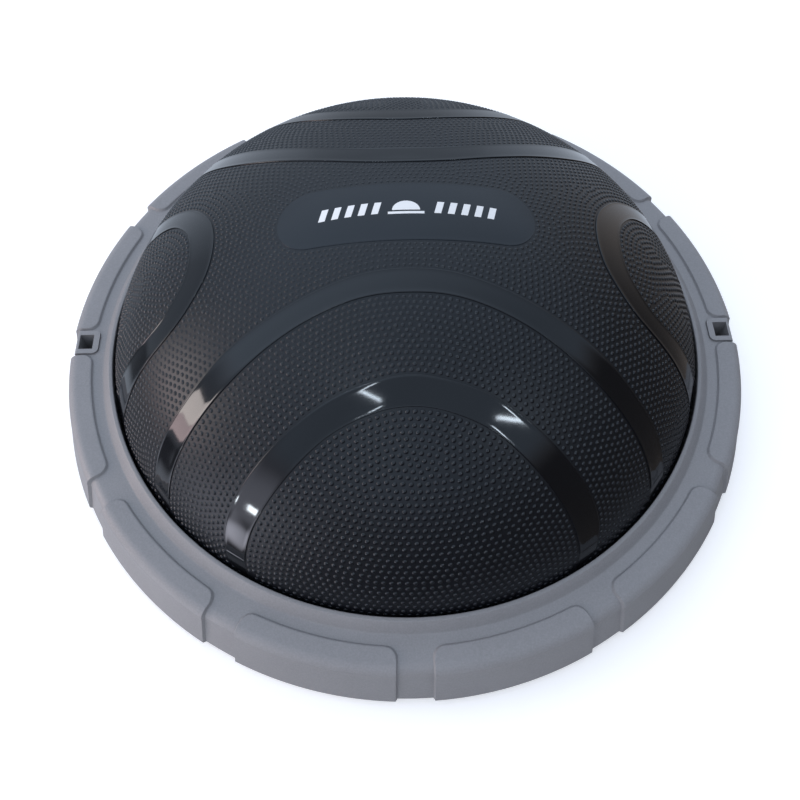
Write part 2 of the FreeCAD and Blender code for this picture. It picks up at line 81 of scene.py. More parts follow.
def grid(rows, columns, wrap_rows=False, wrap_columns=False):
    """Quads between rows x columns points that are numbered row by row."""
    index = np.arange(rows * columns).reshape(rows, columns)
    if wrap_rows:
        index = np.vstack([index, index[:1]])
    if wrap_columns:
        index = np.hstack([index, index[:, :1]])
    quads = [index[:-1, :-1], index[:-1, 1:], index[1:, 1:], index[1:, :-1]]
    return np.stack(quads, -1).reshape(-1, 4)


def full_turn(columns):
    """The angles of evenly spaced columns round the Z axis."""
    return np.arange(columns) * 2 * math.pi / columns


def polar(r, turn, *height):
    """Points at radius r and angle turn, flat or at a height."""
    return np.stack(np.broadcast_arrays(r * np.cos(turn), r * np.sin(turn), *height), -1)


def outward(made):
    """Turn every face of closed meshes to point out."""
    work = bmesh.new()
    work.from_mesh(made.data)
    bmesh.ops.recalc_face_normals(work, faces=work.faces)
    work.to_mesh(made.data)
    work.free()
    return made


def joined(name, made):
    """Join several objects into the first one, and name it."""
    with bpy.context.temp_override(
        active_object=made[0], selected_editable_objects=made, object=made[0]
    ):
        bpy.ops.object.join()
    made[0].name = name
    made[0].data.name = name
    return made[0]


# -------- the dome's meridian

DOME_R = 250.5
DOME_Z = 37.0
HEM_ARC = 78.0
HEM_TURN = math.radians(16.5)
SHOULDER_ARC = 176.0
SHOULDER_TURN = math.radians(48.0)
EDGE_LOW = 17.0
EDGE_TOP = 21.0
EDGE_R = 258.0
DOME_WALL = 3.0

hem_r = DOME_R - HEM_ARC * (1 - math.cos(HEM_TURN))
shoulder_r = hem_r - SHOULDER_ARC * (math.cos(HEM_TURN) - math.cos(SHOULDER_TURN))
CROWN = shoulder_r / math.cos(SHOULDER_TURN)
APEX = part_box("dome_shell")[1].z / MM
crown_length = CROWN * (math.pi / 2 - SHOULDER_TURN)
shoulder_length = SHOULDER_ARC * (SHOULDER_TURN - HEM_TURN)
hem_length = HEM_ARC * HEM_TURN
LENGTHS = np.cumsum([0.0, crown_length, shoulder_length, hem_length, DOME_Z - EDGE_TOP])
TURNS = [0.0, math.pi / 2 - SHOULDER_TURN, math.pi / 2 - HEM_TURN, math.pi / 2, math.pi / 2]

EASE_SPAN = 56.0
MERIDIAN_SAMPLES = 4001

# The meridian's slope against its arc length, with the jumps in curvature between the arcs eased.
along = np.linspace(0.0, LENGTHS[-1], MERIDIAN_SAMPLES)
ease_count = int(EASE_SPAN / 2 / along[1])
longer = np.arange(-ease_count, MERIDIAN_SAMPLES + ease_count) * along[1]
ease = np.hanning(2 * ease_count + 1)
uneased = np.sign(longer) * np.interp(np.abs(longer), LENGTHS, TURNS)
slope = np.convolve(uneased, ease / ease.sum(), "valid")
step = np.diff(along)
step_slope = (slope[1:] + slope[:-1]) / 2
meridian_r = np.concatenate([[0.0], np.cumsum(np.cos(step_slope) * step)])
meridian_z = APEX - np.concatenate([[0.0], np.cumsum(np.sin(step_slope) * step)])
meridian_r += (DOME_R - meridian_r[-1]) * along / along[-1]
meridian_z += (EDGE_TOP - meridian_z[-1]) * along / along[-1]
CENTRE_Z = APEX - CROWN
polar_angle = np.arctan2(meridian_r, meridian_z - CENTRE_Z)


def skin(s, turn, height=0.0):
    """Points on the dome at arc length s and angle turn, raised by height."""
    lean = np.interp(s, along, slope)
    r = np.interp(s, along, meridian_r) + height * np.sin(lean)
    z = np.interp(s, along, meridian_z) + height * np.cos(lean)
    return polar(r, turn, z)


def on_skin(flat, height=0.0):
    """Unrolled points on the dome, raised by height."""
    s = np.hypot(flat[..., 0], flat[..., 1])
    return skin(s, np.arctan2(flat[..., 1], flat[..., 0]), height)


def unrolled(points):
    """The unrolled place of points that are near the skin."""
    turn = np.arctan2(points[..., 1], points[..., 0])
    radius = np.hypot(points[..., 0], points[..., 1])
    s = np.interp(np.arctan2(radius, points[..., 2] - CENTRE_Z), polar_angle, along)
    return polar(s, turn)


def resampled(line, shares):
    """The places on a line at these shares of its length."""
    length = np.concatenate([[0.0], np.cumsum(np.linalg.norm(np.diff(line, axis=0), axis=1))])
    return np.stack([np.interp(shares * length[-1], length, line[:, k]) for k in (0, 1)], -1)


RUN_SAMPLES = 24


def curve_through(points, samples):
    """A smooth line through unrolled points, evenly sampled by length."""
    known = np.asarray(points, float)
    padded = np.vstack([2 * known[0] - known[1], known, 2 * known[-1] - known[-2]])
    share = np.linspace(0, 1, RUN_SAMPLES, endpoint=False)[:, None]
    runs = []
    for a, b, c, d in zip(padded, padded[1:], padded[2:], padded[3:]):
        first, second, third = (math.sqrt(np.linalg.norm(q - p)) for p, q in ((a, b), (b, c), (c, d)))
        leave = c - b + second * ((b - a) / first - (c - a) / (first + second))
        enter = c - b + second * ((d - c) / third - (d - b) / (second + third))
        runs.append(
            (2 * share**3 - 3 * share**2 + 1) * b
            + (share**3 - 2 * share**2 + share) * leave
            + (3 * share**2 - 2 * share**3) * c
            + (share**3 - share**2) * enter
        )
    return resampled(np.vstack([*runs, known[-1:]]), np.linspace(0, 1, samples))


def mirrored(half):
    """A line that starts on the v axis, with its mirror image before it."""
    flipped = [(-u, v) for u, v in reversed(half[1:])]
    return flipped + list(half)


# -------- smooth bands on the dome

# Half of each band's edges, unrolled: u along the band from its middle, v away from the apex.
LARGE_OUTER = [(0, 51), (31, 53.5), (62, 62), (98, 76), (140, 97), (181, 125), (218, 152), (247, 182)]
LARGE_INNER = [(0, 69.5), (30, 71.5), (61, 80), (100, 97.5), (140, 122), (180, 151), (212, 179), (237, 208)]
SMALL_OUTER = [(0, 126.5), (25, 130), (59, 141), (100, 166), (140, 200), (162, 227), (173, 258)]
SMALL_INNER = [(0, 148.5), (22, 151), (59, 165), (100, 196), (134, 231), (151, 257), (158, 276)]
SIDE_OUTER = [(0, 150), (25, 154.5), (45, 168), (59, 183), (69, 200), (87, 240), (97, 261), (113, 296)]
SIDE_INNER = [(0, 174), (22, 178), (39, 190), (50, 203), (58, 222), (62.5, 241), (70, 266), (83, 302)]
LABEL_HALF_LONG = 95.0
LABEL_HALF_WIDE = 26.5
LABEL_ARCH = 4.5
LABEL_END_TURN = 0.03

BAND_END_S = 299.0
SKIRT_END_S = 321.0
BAND_RISE = 0.7
BAND_FOOT_RISE = 0.2
LABEL_RISE = 0.3
MARK_RISE = 0.38
BAND_ROOT = -0.4
BAND_SAMPLES = 600
EDGE_BEAD = 0.13
EDGE_DROP_SHARE = 0.6
# Where the bead lies beside an edge and how wide it is, in units of the edge's rounding.
BEAD_PLACE = 1.5
BEAD_HALF = 1.8
# Distances from a strip's end to its first lines of points, in the same units.
END_LINES = (0.0, 0.12, 0.3, 0.55, 1.0, 1.5, 2.0, 2.6, 3.3)


def rim_trim(edge, s_end):
    """Cut an unrolled line where both its ends pass an arc length."""
    s = np.hypot(edge[:, 0], edge[:, 1])
    inside = np.flatnonzero(s < s_end)
    first, last = inside[0], inside[-1]
    kept = edge[first : last + 1]
    ends = []
    for inner, outer in ((first, first - 1), (last, last + 1)):
        if outer < 0 or outer >= len(edge):
            ends.append(edge[inner])
            continue
        share = (s_end - s[inner]) / (s[outer] - s[inner])
        ends.append(edge[inner] + share * (edge[outer] - edge[inner]))
    return np.vstack([ends[0], kept, ends[1]])


def drawn_in(half, nearer):
    """A half line whose middle is moved towards the apex, with its outer end left in place."""
    return [(u, v - nearer * (1 - (u / half[-1][0]) ** 2)) for u, v in half]


def band_edges(outer, inner, turn, nearer, s_end):
    """Both edges of a band, turned about the apex, mirrored in its own axis and cut at s_end."""
    edges = []
    for half in (outer, inner):
        line = rim_trim(curve_through(mirrored(drawn_in(half, nearer)), BAND_SAMPLES), s_end)
        cosine, sine = math.cos(turn), math.sin(turn)
        edges.append(line @ np.array([[cosine, sine], [-sine, cosine]]))
    return edges


def lengthwise(total, spacing, soft):
    """Distances from 0 to total, close together within soft of both ends."""
    near = soft * np.array(END_LINES)
    count = max(2, int((total - 2 * near[-1]) / spacing) + 1)
    plain = np.linspace(near[-1], total - near[-1], count)
    return np.concatenate([near[:-1], plain, total - near[:-1][::-1]])


def rounded_rise(distance, rise, soft, bead):
    """Height at a distance in from an edge that is rounded over the width soft and has a low bead."""
    short = np.clip(distance, 0.0, soft)
    drop = EDGE_DROP_SHARE * rise * (1 - np.sqrt(1 - (1 - short / soft) ** 2))
    from_bead = np.clip((distance / soft - BEAD_PLACE) / BEAD_HALF, -1, 1)
    return rise - drop + bead * np.cos(from_bead * math.pi / 2) ** 2


def strip(name, first_edge, second_edge, rise, root=BAND_ROOT, spacing=2.2, soft=0.5, bead=0.0):
    """A closed, slightly raised strip on the dome between two unrolled edges."""
    long = max(np.linalg.norm(np.diff(edge, axis=0), axis=1).sum() for edge in (first_edge, second_edge))
    wide = np.linalg.norm(first_edge[len(first_edge) // 2] - second_edge[len(second_edge) // 2])
    along_strip = lengthwise(long, spacing, soft)
    across_strip = lengthwise(wide, spacing, soft)
    first = resampled(first_edge, along_strip / long)[:, None]
    second = resampled(second_edge, along_strip / long)[:, None]
    share = (across_strip / wide)[None, :, None]
    flat = first + (second - first) * share
    from_side = np.minimum(across_strip, wide - across_strip)[None, :]
    from_end = np.minimum(along_strip, long - along_strip)[:, None]
    height = rounded_rise(np.minimum(from_side, from_end), rise, soft, bead)
    top = on_skin(flat, height)
    low = on_skin(flat, root)
    rows, columns = height.shape
    faces = grid(rows, columns)
    count = rows * columns
    index = np.arange(count).reshape(rows, columns)
    loop = np.concatenate([index[0], index[1:-1, -1], index[-1, ::-1], index[-2:0:-1, 0]])
    after = np.roll(loop, -1)
    walls = np.stack([loop, loop + count, after + count, after], -1)
    points = np.vstack([top.reshape(-1, 3), low.reshape(-1, 3)])
    return outward(make_object(name, points, faces, faces[:, ::-1] + count, walls))


# Each kind of band: its two edges, then the turn of each band and how far its middle is drawn in.
BANDS = {
    "large": (LARGE_OUTER, LARGE_INNER, (math.pi, 0.0), (0.0, 3.0)),
    "small": (SMALL_OUTER, SMALL_INNER, (math.pi, 0.0), (0.0, 12.0)),
    "side": (SIDE_OUTER, SIDE_INNER, (-math.pi / 2, 0.0), (math.pi / 2, 0.0)),
}

outlines = []
dome_bands = []
for kind, (outer, inner, *places) in BANDS.items():
    band_pieces = []
    for turn, nearer in places:
        whole = band_edges(outer, inner, turn, nearer, SKIRT_END_S)
        outlines.append(np.vstack([whole[0], whole[1][::-1]]))
        band_pieces.append(strip("foot", *whole, BAND_FOOT_RISE, soft=0.4))
        short = band_edges(outer, inner, turn, nearer, BAND_END_S)
        band_pieces.append(strip("face", *short, BAND_RISE, bead=EDGE_BEAD))
    dome_bands.append(joined(f"dome_bands_{kind}", band_pieces))


def arched(flat):
    """Unrolled points bent like the label, whose ends curve towards the front."""
    return flat - [0, 1] * (LABEL_ARCH * (flat[:, :1] / LABEL_HALF_LONG) ** 2)


def stadium(half_long, half_wide):
    """Upper and lower edge of a bar with round ends, from left to right."""
    bend = np.linspace(math.pi - LABEL_END_TURN, LABEL_END_TURN, 121)
    run = half_long - half_wide
    u = half_wide * np.cos(bend) + np.where(np.cos(bend) < 0, -run, run)
    upper = np.stack([u, half_wide * np.sin(bend)], -1)
    return arched(upper), arched(upper * [1, -1])


label_edges = stadium(LABEL_HALF_LONG, LABEL_HALF_WIDE)
outlines.append(np.vstack([label_edges[0], label_edges[1][::-1]]))
label_panel = strip("dome_label_panel", *label_edges, LABEL_RISE, soft=0.6, bead=0.06)

MARK_SOFT = 0.12
DISC_HALF = 10.0
DISC_TALL = 8.6
DISC_CENTRE = -2.6
DISC_FOOT = -2.5
DISC_END_TURN = 0.12
BASE_HALF = 13.0
BASE_TOP = -3.8
BASE_FOOT = -6.0
BARS_EACH_SIDE = 5
FIRST_BAR = 22.5
BAR_STEP = 9.6
BAR_FOOT = -5.2
BAR_TOP = 5.4
BAR_SHIFT = -2.6
BAR_WIDE = 5.0
BAR_SLANT = 2.8


def straight(start, end, samples=41):
    """A line on the label between two places."""
    return arched(np.linspace(start, end, samples))


def slanted_bar(name, left):
    """A printed bar whose foot starts at left."""
    edges = [straight((u, BAR_FOOT), (u + BAR_SLANT, BAR_TOP), 15) for u in (left, left + BAR_WIDE)]
    return strip(name, *edges, MARK_RISE, spacing=1.4, soft=MARK_SOFT)


def printed_mark():
    """A plain printed sign: a half disc over a base bar, between rows of slanted bars."""
    arc = np.linspace(math.pi - DISC_END_TURN, DISC_END_TURN, 41)
    disc_top = arched(np.stack([DISC_HALF * np.cos(arc), DISC_TALL * np.sin(arc) + DISC_CENTRE], -1))
    disc_foot = straight((-DISC_HALF, DISC_FOOT), (DISC_HALF, DISC_FOOT))
    base_edges = [straight((-BASE_HALF, v), (BASE_HALF, v)) for v in (BASE_TOP, BASE_FOOT)]
    shapes = [
        strip("mark_disc", disc_top, disc_foot, MARK_RISE, spacing=1.2, soft=MARK_SOFT),
        strip("mark_base", *base_edges, MARK_RISE, soft=MARK_SOFT),
    ]
    for side in (-1, 1):
        for number in range(BARS_EACH_SIDE):
            left = side * (FIRST_BAR + BAR_STEP * number) + BAR_SHIFT
            shapes.append(slanted_bar(f"mark_bar_{side}_{number}", left))
    return joined("dome_printed_mark", shapes)


printed = printed_mark()

# -------- studs on the dome

PITCH_S = (60.0, 170.0, 240.0, 320.0)
PITCHES = (4.5, 5.3, 5.7, 5.85)
FULL_PITCH = 5.5
TALL_S = (80.0, 170.0)
TALL_SHARES = (0.66, 0.9)
SPREAD = 1.05
STUD_LAST_S = 319.0
EDGE_GAP_SHARE = 0.6
EDGE_ROWS = 8
ROW_STEP = 0.88
EDGE_CLEAR_SHARE = 0.48
# The least gaps between studs, in pitches: beside the outlines, before settling and after it.
FIXED_GAP = 0.72
LOOSE_GAP = 0.66
SETTLED_GAP = 0.74
SETTLE_ROUNDS = 8
SETTLE_STEPS = 5
SETTLE_REACH = 1.3
SETTLE_PUSH = 0.28
STUD_SIDES = 10
# Radius and height of a stud's rings, from its root in the skin to below its tip.
STUD_PROFILE = ((1.95, -0.2), (1.72, 0.12), (1.42, 0.46), (0.98, 0.76), (0.45, 0.92))
STUD_TIP = 0.97
UV_SPAN = 700.0
STUD_PIECES = 6


def inside(flat, outline):
    """Which unrolled points lie in an unrolled outline."""
    hit = np.zeros(len(flat), bool)
    for a, b in zip(outline, np.roll(outline, -1, axis=0)):
        spans = (a[1] > flat[:, 1]) != (b[1] > flat[:, 1])
        if not spans.any():
            continue
        crossing = a[0] + (flat[:, 1] - a[1]) * (b[0] - a[0]) / (b[1] - a[1])
        hit ^= spans & (flat[:, 0] < crossing)
    return hit


def pitch_at(flat):
    """The studs' spacing, which grows from the apex to the rim as the skin is stretched."""
    return np.interp(np.hypot(flat[..., 0], flat[..., 1]), PITCH_S, PITCHES)


def edge_rows(order):
    """Places at the studs' spacing in the row of this order beside each outline, the nearest being 0."""
    rows = []
    for outline in outlines:
        run = np.roll(outline, -1, axis=0) - np.roll(outline, 1, axis=0)
        run /= np.linalg.norm(run, axis=1)[:, None]
        away = np.stack([run[:, 1], -run[:, 0]], -1)
        sign = np.where(inside(outline + away, outline), -1.0, 1.0)[:, None]
        gap = (EDGE_GAP_SHARE + ROW_STEP * order) * pitch_at(outline)[:, None]
        loop = outline + sign * away * gap
        loop = np.vstack([loop, loop[:1]])
        step_length = np.linalg.norm(np.diff(on_skin(loop), axis=0), axis=1)
        count_at = np.concatenate([[0.0], np.cumsum(step_length / pitch_at((loop[1:] + loop[:-1]) / 2))])
        where = np.arange(0.5 * (order % 2), count_at[-1] - 0.5, 1.0)
        rows.append(np.stack([np.interp(where, count_at, loop[:, k]) for k in (0, 1)], -1))
    return np.vstack(rows)


def allowed(flat, margin_s=0.0):
    """Which places are on the skin's studded part."""
    free = np.hypot(flat[:, 0], flat[:, 1]) < STUD_LAST_S + margin_s
    for outline in outlines:
        free &= ~inside(flat, outline)
    return free


def tree_of(points):
    """A search tree over points."""
    tree = kdtree.KDTree(len(points))
    for number, point in enumerate(points):
        tree.insert(point, number)
    tree.balance()
    return tree


def thinned(points, fixed, share):
    """Which places stay when those past the fixed ones that crowd an earlier one are dropped."""
    tree = tree_of(points)
    least = pitch_at(unrolled(points)) * share
    kept = np.ones(len(points), bool)
    for number, point in enumerate(points):
        if not kept[number]:
            continue
        for _, other, _ in tree.find_range(point, least[number]):
            if other > number and other >= fixed:
                kept[other] = False
    return kept


def loose_places():
    """Rows round the apex, with every other row shifted by half a step."""
    rings = []
    s, number = PITCHES[0], 0
    while s < STUD_LAST_S + PITCHES[-1]:
        pitch = float(np.interp(s, PITCH_S, PITCHES))
        around = max(1, round(2 * math.pi * float(np.interp(s, along, meridian_r)) / pitch))
        turn = (np.arange(around) + 0.5 * (number % 2)) * 2 * math.pi / around
        rings.append(polar(s, turn))
        s += pitch * math.sqrt(0.75)
        number += 1
    flat = np.vstack(rings)
    return flat[allowed(flat, PITCHES[-1])]


def stud_places():
    """Studs in rows: fixed ones beside the bands, and loose ones that settle between them."""
    rows = [edge_rows(order) for order in range(EDGE_ROWS)]
    rows = [row[allowed(row, PITCHES[-1] * min(order, 1))] for order, row in enumerate(rows)]
    fixed_points = on_skin(rows[0])
    fixed_points = fixed_points[thinned(fixed_points, 0, FIXED_GAP)]
    fixed = len(fixed_points)
    points = np.vstack([fixed_points, on_skin(np.vstack([*rows[1:], loose_places()]))])
    points = points[thinned(points, fixed, LOOSE_GAP)]
    for _ in range(SETTLE_ROUNDS):
        tree = tree_of(points)
        pitch = pitch_at(unrolled(points))
        pairs = [
            (number, other)
            for number in range(fixed, len(points))
            for _, other, _ in tree.find_range(points[number], pitch[number] * SETTLE_REACH)
            if other != number
        ]
        one, two = np.array(pairs).T
        for _ in range(SETTLE_STEPS):
            gap = points[one] - points[two]
            distance = np.linalg.norm(gap, axis=1)
            push = np.clip(pitch[one] * SPREAD - distance, 0, None) * SETTLE_PUSH
            move = np.zeros_like(points)
            np.add.at(move, one, gap * (push / np.maximum(distance, 0.1))[:, None])
            points = points + move
            points[fixed:] = on_skin(unrolled(points[fixed:]))
    kept = thinned(points, fixed, SETTLED_GAP)
    flat = unrolled(points)
    kept &= allowed(flat)
    edges = tree_of(np.vstack([on_skin(outline) for outline in outlines]))
    from_edge = np.array([edges.find(point)[2] for point in points])
    close = from_edge < pitch_at(flat) * EDGE_CLEAR_SHARE
    return flat[kept & ~close]


def flat_map(made, points):
    """A UV map from the unrolled skin, so that thousands of small shells need no unwrapping."""
    layer = made.data.uv_layers.new(name="OFBake")
    corners = np.empty(len(made.data.loops), np.int32)
    made.data.loops.foreach_get("vertex_index", corners)
    place = unrolled(points)[corners] / UV_SPAN + 0.5
    layer.data.foreach_set("uv", place.astype(np.float32).ravel())


def studs():
    """Round-topped studs as closed shells that stand in the skin, in pieces by sector."""
    flat = stud_places()
    s, turn = np.hypot(flat[:, 0], flat[:, 1]), np.arctan2(flat[:, 1], flat[:, 0])
    foot = skin(s, turn)
    lean = np.interp(s, along, slope)
    normal = np.stack([np.sin(lean) * np.cos(turn), np.sin(lean) * np.sin(turn), np.cos(lean)], -1)
    side = np.stack([-np.sin(turn), np.cos(turn), 0 * turn], -1)
    down = np.cross(side, normal)
    around = full_turn(STUD_SIDES)[None, :, None]
    wide = (pitch_at(flat) / FULL_PITCH)[:, None, None]
    tall = wide * np.interp(s, TALL_S, TALL_SHARES)[:, None, None]
    parts = []
    for radius, height in STUD_PROFILE:
        circle = radius * (np.cos(around) * side[:, None] + np.sin(around) * down[:, None])
        parts.append(foot[:, None] + wide * circle + tall * height * normal[:, None])
    parts.append(foot[:, None] + tall * STUD_TIP * normal[:, None])
    points = np.concatenate(parts, 1)
    rings = len(STUD_PROFILE)
    quads = grid(rings, STUD_SIDES, wrap_columns=True)
    last = (rings - 1) * STUD_SIDES + np.arange(STUD_SIDES)
    tip = np.stack([last, np.roll(last, -1), np.full(STUD_SIDES, rings * STUD_SIDES)], -1)
    base = np.arange(STUD_SIDES)[None, ::-1]
    made = []
    for sector in range(STUD_PIECES):
        chosen = points[np.floor(turn / (2 * math.pi) * STUD_PIECES) % STUD_PIECES == sector]
        each = (np.arange(len(chosen)) * points.shape[1])[:, None, None]
        sets = [(each + faces).reshape(-1, faces.shape[1]) for faces in (quads, tip, base)]
        piece = make_object(f"dome_studs_{sector + 1}", chosen.reshape(-1, 3), *sets)
        flat_map(piece, chosen.reshape(-1, 3))
        made.append(piece)
    return made


stud_pieces = studs()

# -------- the dome's skin

SKIN_COLUMNS = 288
OUTSIDE_ROWS = 190
INSIDE_ROWS = 60
FIRST_ROW_S = 0.6
FLANGE_BEVEL = 0.6


def dome_skin():
    """Closed skin: outside, clamped flange and inside, turned about the Z axis."""
    columns = SKIN_COLUMNS
    s = np.linspace(FIRST_ROW_S, LENGTHS[-1], OUTSIDE_ROWS)
    outside = list(zip(np.interp(s, along, meridian_r), np.interp(s, along, meridian_z)))
    flange = [
        (EDGE_R - FLANGE_BEVEL, EDGE_TOP),
        (EDGE_R, EDGE_TOP - FLANGE_BEVEL),
        (EDGE_R, EDGE_LOW + FLANGE_BEVEL),
        (EDGE_R - FLANGE_BEVEL, EDGE_LOW),
    ]
    inner_s = np.linspace(LENGTHS[-1], FIRST_ROW_S, INSIDE_ROWS)
    lean = np.interp(inner_s, along, slope)
    inner_r = np.interp(inner_s, along, meridian_r) - DOME_WALL * np.sin(lean)
    inner_z = np.interp(inner_s, along, meridian_z) - DOME_WALL * np.cos(lean)
    corner = [(DOME_R - DOME_WALL, EDGE_LOW)]
    outline = np.array(outside + flange + corner + list(zip(inner_r, inner_z)))
    points = polar(outline[:, :1], full_turn(columns), outline[:, 1:]).reshape(-1, 3)
    faces = grid(len(outline), columns, wrap_columns=True)
    top = len(points)
    points = np.vstack([points, [(0, 0, APEX), (0, 0, APEX - DOME_WALL)]])
    first = np.arange(columns)
    last = (len(outline) - 1) * columns + first
    outer_cap = np.stack([np.roll(first, -1), first, np.full(columns, top)], -1)
    inner_cap = np.stack([last, np.roll(last, -1), np.full(columns, top + 1)], -1)
    made = outward(make_object("dome_skin", points, faces, outer_cap, inner_cap))
    made.data.set_sharp_from_angle(angle=math.radians(50))
    return made


skin_piece = dome_skin()
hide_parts("dome_shell")

# -------- the grey ring

PADS = 12
PAD_SPAN = 360.0 / PADS
PAD_TURN = math.radians(PAD_SPAN / 2)
PAD_HALF = math.radians(12.4)
PAD_INNER_R = 268.9
PAD_CORNER = 9.0
PAD_RELIEF = 2.3
PAD_EASE = 1.3
PAD_FULL_R = 279.4
WALL_LOW_Z = 8.5
WALL_TOP_Z = 41.2
LAND_Z = 50.2
LIP_R = 250.2
# The section between the pads: (r, z, corner radius), from the outer foot over the top and back.
RING_SECTION = (
    (294.2, 2.0, 0.5),
    (297.7, WALL_LOW_Z, 1.6),
    (288.4, WALL_TOP_Z, 0.0),
    (279.4, LAND_Z, 0.0),
    (260.5, LAND_Z, 2.2),
    (253.4, 59.0, 1.3),
    (LIP_R, 59.0, 1.0),
    (LIP_R, 55.5, 0.6),
    (252.5, 53.2, 0.4),
    (252.5, 21.0, 0.5),
    (258.5, 21.0, 0.5),
    (258.5, 24.5, 0.0),
    (256.0, 27.0, 0.0),
    (256.0, 46.7, 0.8),
    (277.9, 46.7, 1.0),
    (284.9, 40.45, 1.0),
    (291.0, 18.0, 0.0),
    (291.0, 2.0, 0.5),
)
# Corners from this one on are out of sight under the ring, and get fewer points.
HIDDEN_CORNER = 8
CORNER_POINTS = 5
HIDDEN_CORNER_POINTS = 3
# The longest step between rows of points: on the land, on the rest of the outside, and inside.
LAND_STEP = 0.6
OUTSIDE_STEP = 4.0
HIDDEN_STEP = 12.0
# The corner at the wall's top, where the round shoulder starts.
SHOULDER_CORNER = 2
SHOULDER_CENTRE = (279.4, WALL_TOP_Z)
SHOULDER_R = 9.0


def rounded_corner(before, here, after, radius, count):
    """Points round a corner of an outline, no further along a side than 0.45 of its length."""
    side_in, side_out = np.linalg.norm(here - before), np.linalg.norm(after - here)
    arrive = (here - before) / side_in
    leave = (after - here) / side_out
    bend = math.acos(float(np.clip(arrive @ leave, -1, 1)))
    cut = min(radius * math.tan(bend / 2), 0.45 * side_in, 0.45 * side_out)
    first, last = here - cut * arrive, here + cut * leave
    return [
        (1 - share) ** 2 * first + 2 * share * (1 - share) * here + share**2 * last
        for share in np.linspace(0, 1, count)
    ]


def rounded_section(corners):
    """A closed outline with rounded corners, and the round shoulder between land and wall."""
    outline = []
    for number, (r, z, radius) in enumerate(corners):
        here = np.array([r, z])
        before = np.array(corners[number - 1][:2])
        after = np.array(corners[(number + 1) % len(corners)][:2])
        if radius:
            count = CORNER_POINTS if number < HIDDEN_CORNER else HIDDEN_CORNER_POINTS
            outline += rounded_corner(before, here, after, radius, count)
        else:
            outline.append(here)
        if number == SHOULDER_CORNER:
            start = math.atan2(z - SHOULDER_CENTRE[1], r - SHOULDER_CENTRE[0])
            for turn in np.linspace(start, math.pi / 2, 12)[1:-1]:
                outline.append(SHOULDER_CENTRE + polar(SHOULDER_R, turn))
    return outline


def shell_rows(section):
    """How many of the section's rows lie on its outside, from the foot to the lip."""
    return int(np.argmax(section[:, 0] < LIP_R + 0.1))


def divided(outline):
    """More rows where the pads' edge crosses the land, and along the wall."""
    rows = []
    hidden_from = shell_rows(np.array(outline))
    for number, (here, after) in enumerate(zip(outline, outline[1:] + outline[:1])):
        on_land = max(abs(here[1] - LAND_Z), abs(after[1] - LAND_Z)) < 0.3
        longest = LAND_STEP if on_land else OUTSIDE_STEP if number < hidden_from else HIDDEN_STEP
        count = max(1, math.ceil(np.linalg.norm(after - here) / longest))
        rows += [here + (after - here) * k / count for k in range(count)]
    return np.array(rows)


def pad_share(r, turn):
    """How far a place is on a raised pad, from 0 in a gap to 1 on the pad."""
    off = np.abs((turn - PAD_TURN + math.pi / PADS) % (2 * math.pi / PADS) - math.pi / PADS)
    from_side = (PAD_HALF - off) * r
    from_inside = r - PAD_INNER_R
    short = np.hypot(np.clip(PAD_CORNER - from_side, 0, None), np.clip(PAD_CORNER - from_inside, 0, None))
    depth = np.minimum(PAD_CORNER - short, np.minimum(from_side, from_inside))
    share = np.clip(depth / PAD_EASE, 0, 1)
    return share * share * (3 - 2 * share)


# Degrees: the densely divided end of a pad, its step, and the first column past the pad's side.
DENSE_SPAN = 2.5
DENSE_STEP = 0.125
GAP_START = 0.4


def ring_columns():
    """Column angles for one pad and its gaps, dense where the pad's edge and corners run."""
    half = np.degrees(PAD_HALF)
    on_pad = np.linspace(0, half - DENSE_SPAN, 11)[:-1]
    dense = np.arange(half - DENSE_SPAN, half + 0.05, DENSE_STEP)
    in_gap = np.linspace(half + GAP_START, PAD_SPAN / 2, 4)
    one_side = np.concatenate([on_pad, dense, in_gap])
    both_sides = np.concatenate([-one_side[:0:-1], one_side])[:-1]
    return np.radians(np.concatenate([both_sides + PAD_SPAN * (k + 0.5) for k in range(PADS)]))


def tube(centre, radii, low, high, sides=20):
    """A closed tube that stands on its end."""
    outer, inner = radii
    levels = [(outer, low), (outer, high), (inner, high), (inner, low)]
    points = [polar(r, full_turn(sides), z) + (*centre, 0) for r, z in levels]
    return outward(make_object("tube", np.vstack(points), grid(4, sides, wrap_rows=True, wrap_columns=True)))


def wedge(turn, half_thick, inner_r, outer_low, outer_high, low, high):
    """An upright web that runs radially, with its outer edge leaning like the wall."""
    cosine, sine = math.cos(turn), math.sin(turn)
    points = []
    for z, outer in ((low, outer_low), (high, outer_high)):
        for r, side in ((inner_r, -1), (outer, -1), (outer, 1), (inner_r, 1)):
            y = side * half_thick
            points.append((r * cosine - y * sine, r * sine + y * cosine, z))
    walls = [(0, 1, 5, 4), (1, 2, 6, 5), (2, 3, 7, 6), (3, 0, 4, 7)]
    quads = np.array([(3, 2, 1, 0), (4, 5, 6, 7), *walls])
    return make_object("web", np.array(points), quads)


BITE_INNER_R = 265.7
BITE_OUTER_R = 286.3
BITE_HALF = 12.0
BITE_CORNER = 5.3
BITE_LEVELS = (20.0, 75.0)


